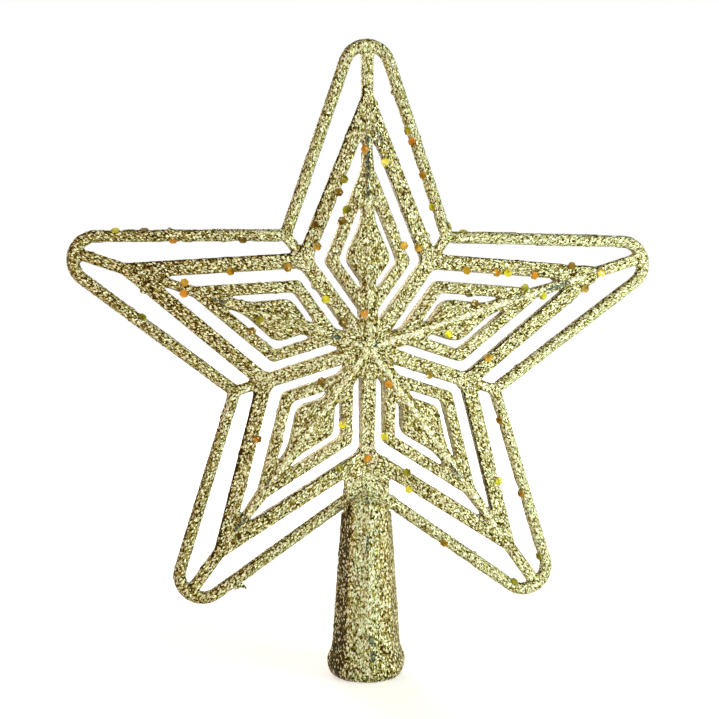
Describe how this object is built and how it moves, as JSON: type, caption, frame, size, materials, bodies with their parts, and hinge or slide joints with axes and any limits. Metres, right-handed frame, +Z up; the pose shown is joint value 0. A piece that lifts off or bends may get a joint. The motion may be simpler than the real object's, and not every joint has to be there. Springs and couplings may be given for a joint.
{
  "type": "christmas tree topper star",
  "caption": "Openwork star-shaped tree topper in gold glitter on a tapered, faceted socket that slips over a tree's top shoot.",
  "frame": {"origin": "centre of the socket's mouth, on the plane of its rim", "axes": "+Z up the socket to the top tip of the star, +X to the right seen from the front, +Y from the front to the back of the star"},
  "size_m": [0.1844, 0.0252, 0.2],
  "materials": {
    "star_front": "moulded plastic covered with gold glitter",
    "star_back": "moulded plastic covered with gold glitter",
    "socket_tube": "moulded plastic covered with coarse gold glitter",
    "stem_glue": "set hot-melt glue, cloudy",
    "confetti_gold": "metallised film confetti",
    "confetti_orange": "metallised film confetti",
    "confetti_yellow": "metallised film confetti",
    "confetti_lime": "metallised film confetti",
    "confetti_bronze": "metallised film confetti"
  },
  "bodies": {
    "root": {"star_front": "star_front", "star_back": "star_back", "socket_tube": "socket_tube", "stem_glue": "stem_glue", "confetti_gold": "confetti_gold", "confetti_orange": "confetti_orange", "confetti_yellow": "confetti_yellow", "confetti_lime": "confetti_lime", "confetti_bronze": "confetti_bronze"}
  },
  "joints": []
}
